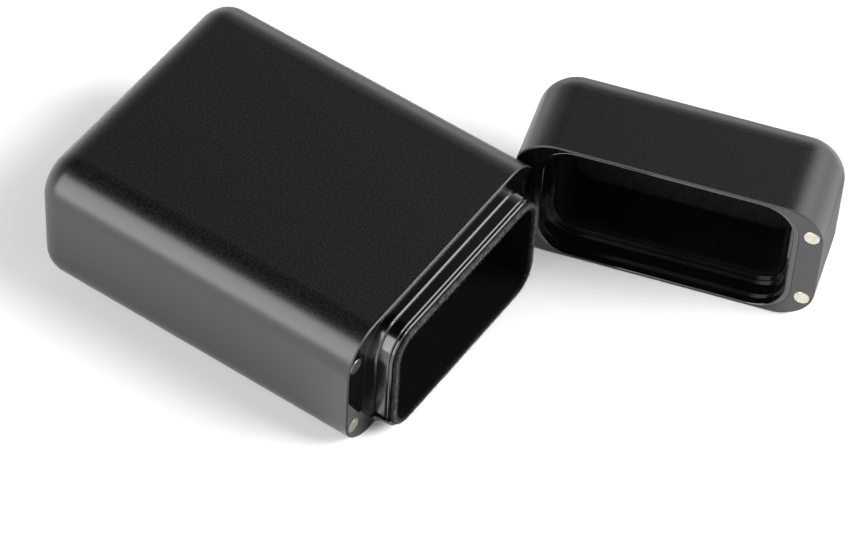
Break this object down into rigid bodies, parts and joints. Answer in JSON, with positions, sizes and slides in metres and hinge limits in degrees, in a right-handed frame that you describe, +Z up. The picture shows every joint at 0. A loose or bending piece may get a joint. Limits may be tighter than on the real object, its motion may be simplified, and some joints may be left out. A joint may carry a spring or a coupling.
{
  "type": "key box",
  "caption": "Signal-blocking key box in two hinged metal halves, with a stepped neck, a felt-lined pocket and magnets that hold the lid shut.",
  "frame": {"origin": "middle of the body's flat underside, on the surface it lies on", "axes": "+X across the width towards the hinge, +Y from the mouth towards the closed end of the body, +Z up through the thickness"},
  "size_m": [0.0978, 0.1246, 0.03],
  "materials": {
    "case_anodised": "bead-blasted, black anodised, satin",
    "frame_anodised": "machined, black anodised",
    "felt": "short-pile felt",
    "magnet_plating": "nickel-plated",
    "hinge_steel": "blackened steel"
  },
  "bodies": {
    "body": {"body_shell": "case_anodised", "body_neck_frame": "frame_anodised", "body_shield_ring": "frame_anodised", "body_liner_sleeve": "felt", "body_liner_pad": "felt", "body_magnet_upper": "magnet_plating", "body_magnet_lower": "magnet_plating", "body_hinge_leaf": "hinge_steel", "body_hinge_screw_upper": "hinge_steel", "body_hinge_screw_lower": "hinge_steel", "hinge_pin": "hinge_steel"},
    "lid": {"lid_shell": "case_anodised", "lid_seat_frame": "frame_anodised", "lid_liner_retainer": "frame_anodised", "lid_liner_sleeve": "felt", "lid_liner_pad": "felt", "lid_magnet_upper": "magnet_plating", "lid_magnet_lower": "magnet_plating", "lid_hinge_leaf": "hinge_steel", "lid_hinge_screw_upper": "hinge_steel", "lid_hinge_screw_lower": "hinge_steel"}
  },
  "joints": [
    {"name": "lid_hinge", "type": "hinge", "parent": "body", "child": "lid", "pos_m": [0.0284, -0.0336, 0.015], "axis": [0, 0, 1], "range_deg": [-107, 4]}
  ]
}
